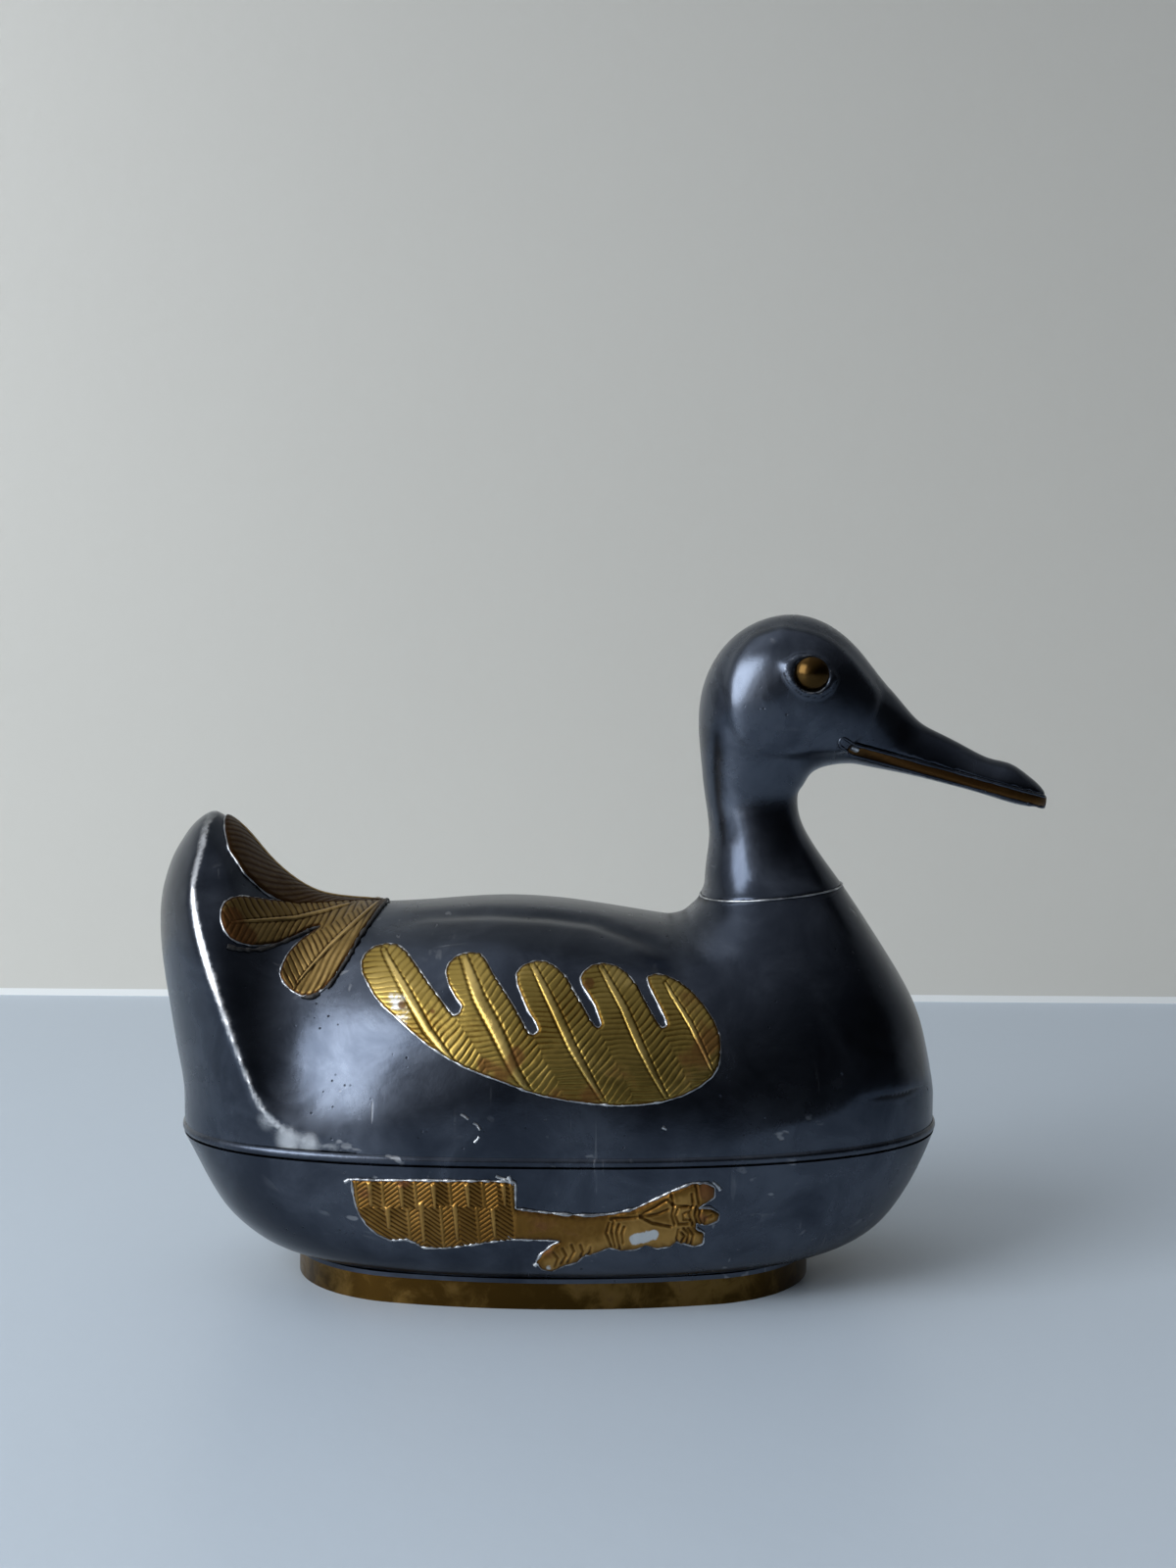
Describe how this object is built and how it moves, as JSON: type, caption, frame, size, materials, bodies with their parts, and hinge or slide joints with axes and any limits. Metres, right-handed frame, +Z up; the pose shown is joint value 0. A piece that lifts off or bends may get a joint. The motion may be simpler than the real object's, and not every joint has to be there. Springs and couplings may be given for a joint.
{
  "type": "lidded duck box",
  "caption": "Box in the form of a swimming duck, dark pewter with soldered brass feather and leg sheets and a brass foot ring; the back with neck and head lifts off the oval bowl as a lid.",
  "frame": {"origin": "centre of the foot ring on the surface it stands on", "axes": "+X towards the bill, +Y to the duck's left side, +Z up"},
  "size_m": [0.2698, 0.1238, 0.2021],
  "materials": {
    "pewter": "satin dark patina with worn bright edges",
    "inner_pewter": "dull grey",
    "wing_brass": "chased, aged gold with brown stains",
    "leg_brass": "embossed, brown gold",
    "foot_brass": "mottled brown gold",
    "eye_brass": "polished, brown"
  },
  "bodies": {
    "bowl": {"base_bowl": "pewter", "bottom_plate": "pewter", "foot_ring": "foot_brass", "rim_lip": "inner_pewter", "right_leg": "leg_brass", "left_leg": "leg_brass"},
    "lid": {"lid_shell": "pewter", "lid_bead": "pewter", "neck_and_head": "pewter", "bill_plate": "leg_brass", "right_eye": "eye_brass", "left_eye": "eye_brass", "right_wing": "wing_brass", "left_wing": "wing_brass", "tail_feathers": "wing_brass"}
  },
  "joints": [
    {"name": "lid_lift", "type": "slide", "parent": "bowl", "child": "lid", "axis": [0, 0, 1], "range_m": [0, 0.15]}
  ]
}
